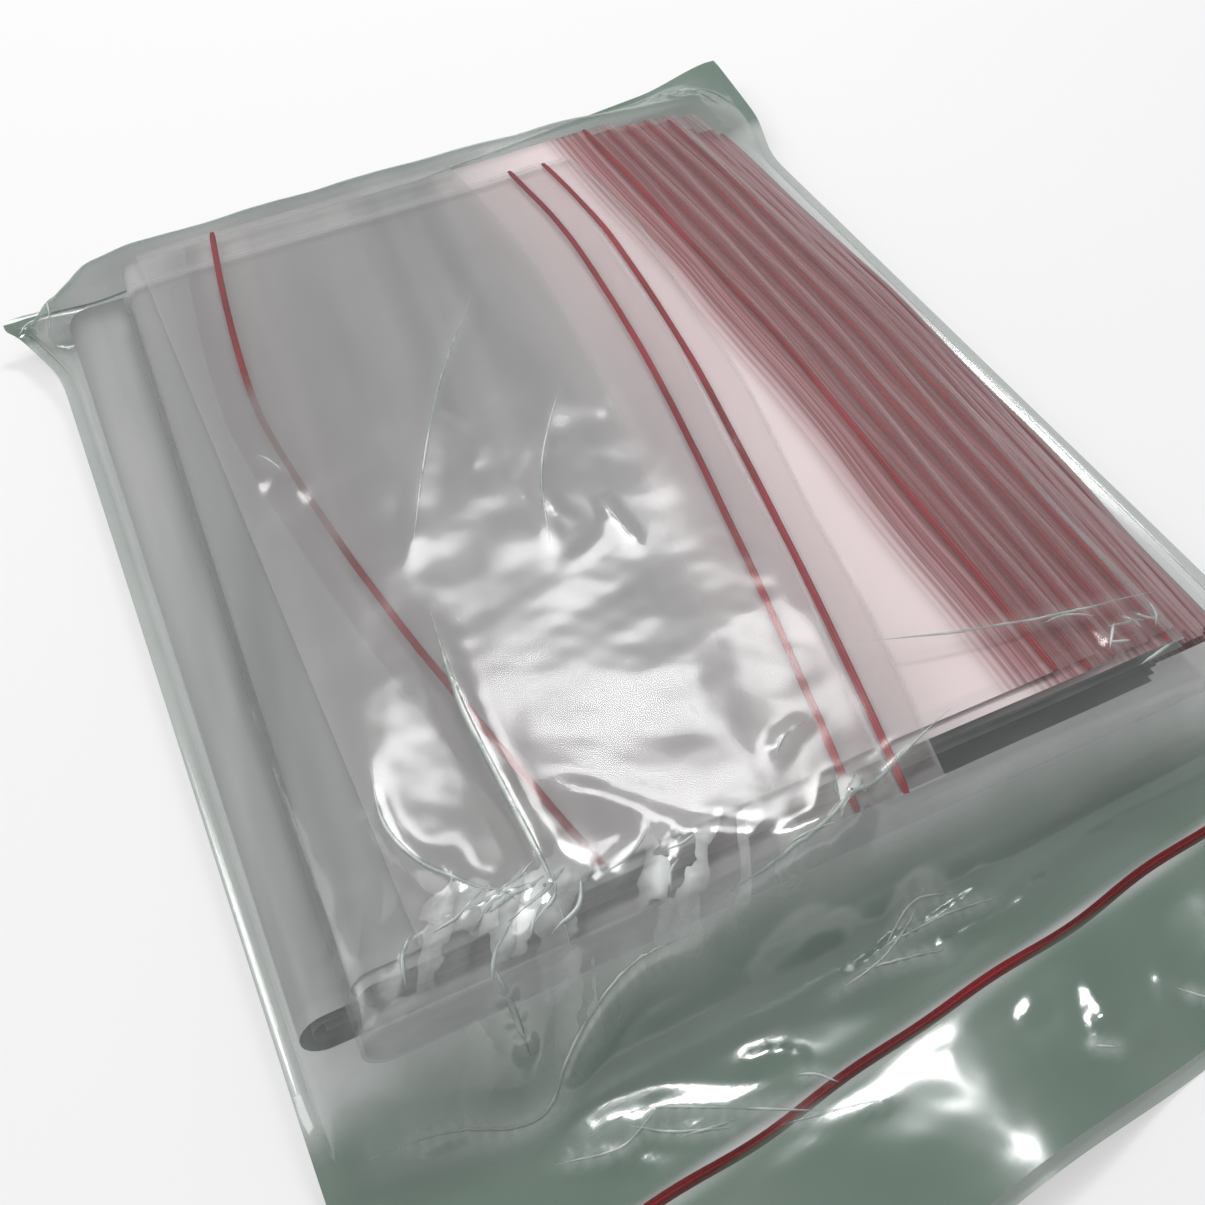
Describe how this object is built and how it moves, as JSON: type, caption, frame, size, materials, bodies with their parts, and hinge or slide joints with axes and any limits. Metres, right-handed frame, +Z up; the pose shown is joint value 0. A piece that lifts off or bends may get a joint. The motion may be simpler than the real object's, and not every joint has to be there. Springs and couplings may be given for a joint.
{
  "type": "pack of zipper bags",
  "caption": "Clear plastic zipper bag that holds folded bundles of smaller clear bags with red zips, its empty mouth end lying flat in front.",
  "frame": {"origin": "on the flat underside of the outer bag, under the pack and close to the middle of the whole", "axes": "+Y from the mouth of the outer bag to its bottom weld, +X across the pack from the folds to the zips, +Z up"},
  "size_m": [0.1598, 0.2569, 0.0184],
  "materials": {
    "outer_film": "clear glossy polythene film, creased, with a grey-green cast",
    "bag_film": "clear polythene film, milky where many layers lie together",
    "red_zip": "dark red press-to-close profile"
  },
  "bodies": {
    "root": {"outer_bag": "outer_film", "outer_zip_track": "red_zip", "outer_zip_rib": "red_zip", "loose_bag": "bag_film", "loose_bag_zip": "red_zip", "upper_bag_1": "bag_film", "upper_bag_1_zip": "red_zip", "upper_bag_2": "bag_film", "upper_bag_2_zip": "red_zip", "upper_bag_3": "bag_film", "upper_bag_3_zip": "red_zip", "upper_bag_4": "bag_film", "upper_bag_4_zip": "red_zip", "upper_bag_5": "bag_film", "upper_bag_5_zip": "red_zip", "upper_bag_6": "bag_film", "upper_bag_6_zip": "red_zip", "upper_bag_7": "bag_film", "upper_bag_7_zip": "red_zip", "lower_bag_1": "bag_film", "lower_bag_1_zip": "red_zip", "lower_bag_2": "bag_film", "lower_bag_2_zip": "red_zip", "lower_bag_3": "bag_film", "lower_bag_3_zip": "red_zip", "lower_bag_4": "bag_film", "lower_bag_4_zip": "red_zip", "lower_bag_5": "bag_film", "lower_bag_5_zip": "red_zip", "lower_bag_6": "bag_film", "lower_bag_6_zip": "red_zip", "lower_bag_7": "bag_film", "lower_bag_7_zip": "red_zip"}
  },
  "joints": []
}
